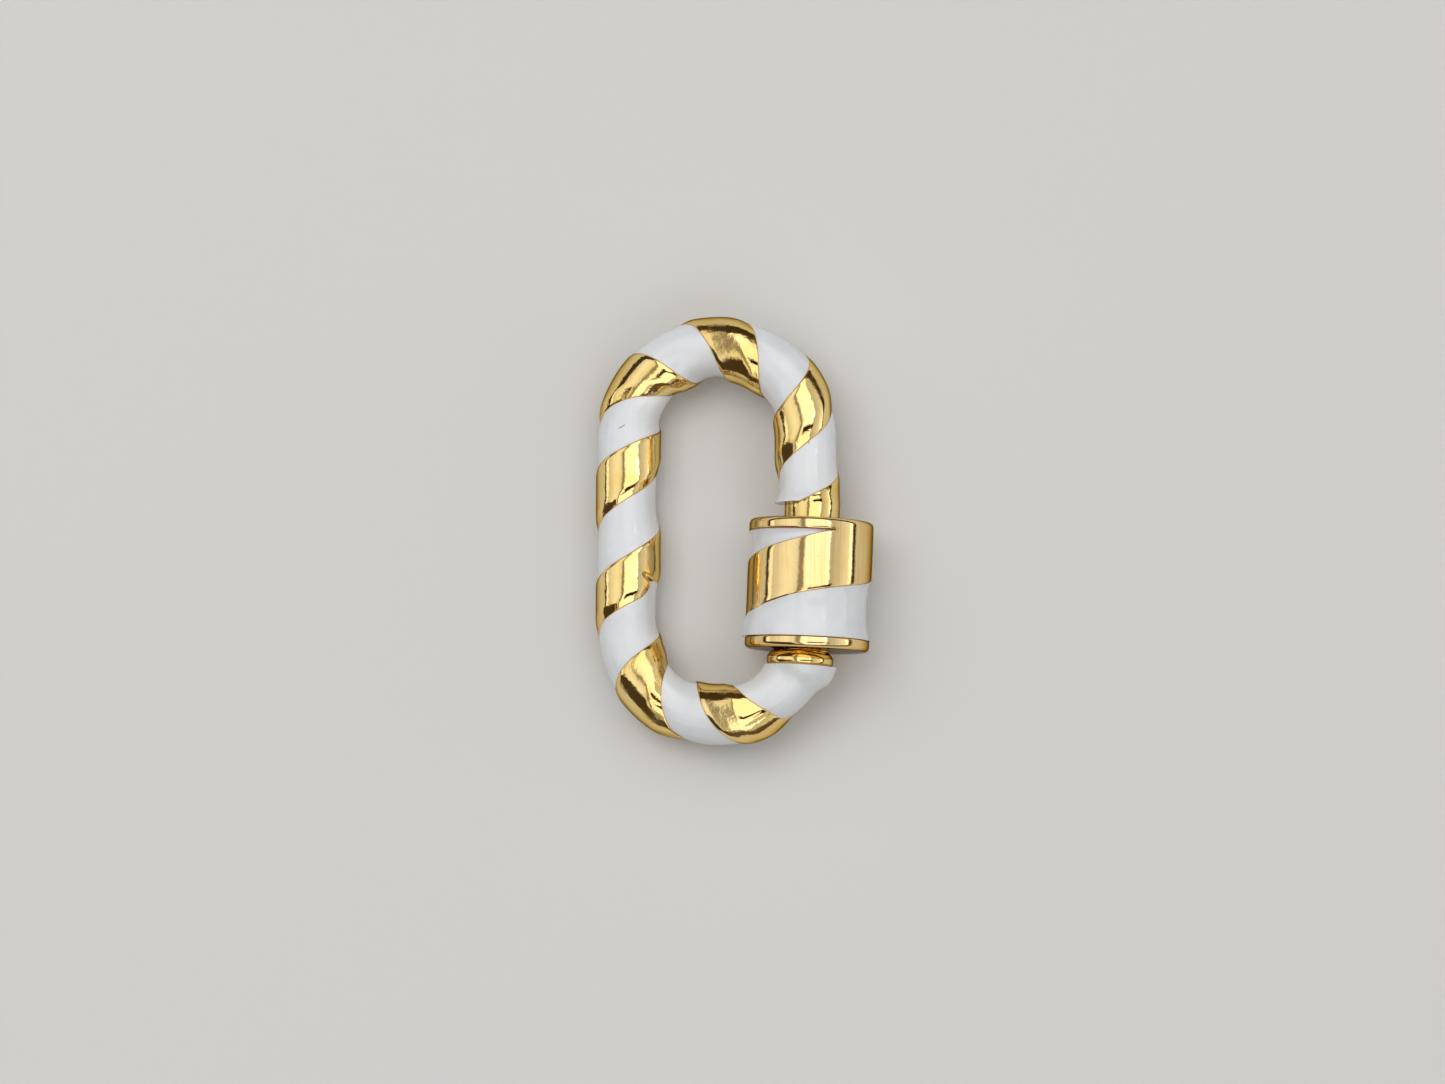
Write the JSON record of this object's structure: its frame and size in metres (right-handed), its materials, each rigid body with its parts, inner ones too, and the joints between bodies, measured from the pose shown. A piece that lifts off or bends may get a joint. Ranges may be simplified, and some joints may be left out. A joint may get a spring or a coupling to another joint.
{
  "type": "screw carabiner clasp",
  "caption": "Oval screw-lock carabiner clasp with a spiral gilt ridge, white enamel stripes and a wider enamelled sleeve that screws shut over the gate.",
  "frame": {"origin": "bottom centre of the bounding box of the shut clasp, lying on its back", "axes": "+X to the side with the sleeve, +Y up along the legs towards the bow above the neck, +Z away from the surface that it lies on"},
  "size_m": [0.018, 0.0278, 0.008],
  "materials": {
    "gilt_brass": "polished gold plating",
    "white_enamel": "glossy white enamel"
  },
  "bodies": {
    "ring": {"ring_body": "gilt_brass", "ring_enamel": "white_enamel"},
    "sleeve": {"screw_sleeve": "gilt_brass", "sleeve_enamel": "white_enamel"}
  },
  "joints": [
    {"name": "sleeve_travel", "type": "slide", "parent": "ring", "child": "sleeve", "axis": [0.0413, 0.9991, 0.0068], "range_m": [0, 0.00405]}
  ]
}
